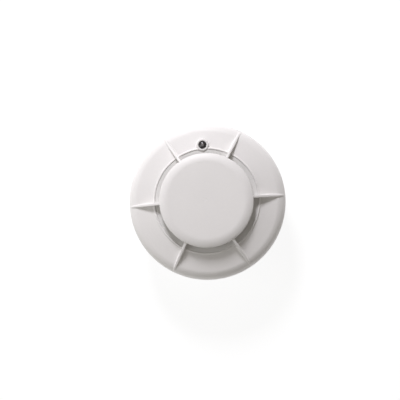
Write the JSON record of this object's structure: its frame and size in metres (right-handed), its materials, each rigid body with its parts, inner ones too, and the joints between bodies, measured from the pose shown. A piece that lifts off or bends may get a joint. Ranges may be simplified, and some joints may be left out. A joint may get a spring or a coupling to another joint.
{
  "type": "heat detector",
  "caption": "Round white fire-alarm heat detector: a raised cap over a ring-shaped air inlet, straight radial fins, a small indicator lens and a twist-lock ceiling base with screw terminals.",
  "frame": {"origin": "centre of the base's flat ceiling face", "axes": "+Z out of the detector's front into the room, +Y from the centre towards the indicator"},
  "size_m": [0.102, 0.102, 0.0465],
  "materials": {
    "cover_plastic": "satin moulded off-white plastic",
    "deck_plastic": "satin moulded off-white plastic",
    "base_plastic": "satin moulded off-white plastic",
    "chassis_plastic": "moulded light grey plastic",
    "seal_rubber": "matt sheet rubber",
    "lens_smoke": "smoked clear plastic, polished",
    "led_ivory": "white housing with a clear dome",
    "bead_epoxy": "dark brown dipped epoxy",
    "tinned_wire": "tinned wire",
    "sleeve_black": "black insulating sleeve",
    "board_green": "green solder mask over glass laminate",
    "screw_steel": "zinc plated steel",
    "chip_black": "black moulding compound",
    "resonator_steel": "drawn nickel-plated can",
    "can_aluminium": "bare drawn aluminium",
    "resistor_black": "black glazed chip",
    "capacitor_tan": "tan fired ceramic",
    "reed_glass": "clear glass tube",
    "blade_brass": "pressed brass",
    "spring_brass": "sprung phosphor bronze strip",
    "clamp_steel": "zinc plated steel",
    "terminal_steel": "zinc plated steel",
    "nut_steel": "zinc plated steel"
  },
  "bodies": {
    "base": {"base_plate": "base_plastic", "terminal_nuts": "nut_steel", "contact_spring_1": "spring_brass", "contact_spring_2": "spring_brass", "contact_spring_3": "spring_brass", "contact_spring_4": "spring_brass"},
    "head": {"front_cover": "cover_plastic", "sensor_deck": "deck_plastic", "deck_seal": "seal_rubber", "indicator_lens": "lens_smoke", "status_led": "led_ivory", "thermistor_bead": "bead_epoxy", "thermistor_leads": "tinned_wire", "thermistor_sleeve": "sleeve_black", "reference_thermistor": "bead_epoxy", "circuit_board": "board_green", "board_screws": "screw_steel", "microcontroller": "chip_black", "resonator": "resonator_steel", "bridge_rectifier": "chip_black", "surge_suppressor": "chip_black", "smoothing_capacitor": "can_aluminium", "timing_capacitor": "can_aluminium", "switching_transistors": "chip_black", "chip_resistors": "resistor_black", "chip_capacitors": "capacitor_tan", "reed_switch": "reed_glass", "chassis": "chassis_plastic", "blade_rivets": "screw_steel", "contact_blade_1": "blade_brass", "contact_blade_2": "blade_brass", "contact_blade_3": "blade_brass", "contact_blade_4": "blade_brass"},
    "clamp_1": {"clamp_plate_1": "clamp_steel"},
    "screw_1": {"terminal_screw_1": "terminal_steel"},
    "clamp_2": {"clamp_plate_2": "clamp_steel"},
    "screw_2": {"terminal_screw_2": "terminal_steel"},
    "clamp_3": {"clamp_plate_3": "clamp_steel"},
    "screw_3": {"terminal_screw_3": "terminal_steel"},
    "clamp_4": {"clamp_plate_4": "clamp_steel"},
    "screw_4": {"terminal_screw_4": "terminal_steel"}
  },
  "joints": [
    {"name": "head_twist", "type": "hinge", "parent": "base", "child": "head", "pos_m": [0, 0, 0.013], "axis": [0, 0, 1], "range_deg": [0, 20]},
    {"name": "clamp_slide_1", "type": "slide", "parent": "base", "child": "clamp_1", "axis": [0, 0, 1], "range_m": [0, 0.0018]},
    {"name": "screw_turn_1", "type": "hinge", "parent": "clamp_1", "child": "screw_1", "pos_m": [0.02121, 0.02121, 0.008], "axis": [0, 0, 1], "range_deg": [0, 1080]},
    {"name": "clamp_slide_2", "type": "slide", "parent": "base", "child": "clamp_2", "axis": [0, 0, 1], "range_m": [0, 0.0018]},
    {"name": "screw_turn_2", "type": "hinge", "parent": "clamp_2", "child": "screw_2", "pos_m": [-0.02121, 0.02121, 0.008], "axis": [0, 0, 1], "range_deg": [0, 1080]},
    {"name": "clamp_slide_3", "type": "slide", "parent": "base", "child": "clamp_3", "axis": [0, 0, 1], "range_m": [0, 0.0018]},
    {"name": "screw_turn_3", "type": "hinge", "parent": "clamp_3", "child": "screw_3", "pos_m": [-0.02121, -0.02121, 0.008], "axis": [0, 0, 1], "range_deg": [0, 1080]},
    {"name": "clamp_slide_4", "type": "slide", "parent": "base", "child": "clamp_4", "axis": [0, 0, 1], "range_m": [0, 0.0018]},
    {"name": "screw_turn_4", "type": "hinge", "parent": "clamp_4", "child": "screw_4", "pos_m": [0.02121, -0.02121, 0.008], "axis": [0, 0, 1], "range_deg": [0, 1080]}
  ],
  "couplings": [
    {"joint": "screw_turn_1", "follows": "clamp_slide_1", "rad_per_m": 10472},
    {"joint": "screw_turn_2", "follows": "clamp_slide_2", "rad_per_m": 10472},
    {"joint": "screw_turn_3", "follows": "clamp_slide_3", "rad_per_m": 10472},
    {"joint": "screw_turn_4", "follows": "clamp_slide_4", "rad_per_m": 10472}
  ]
}
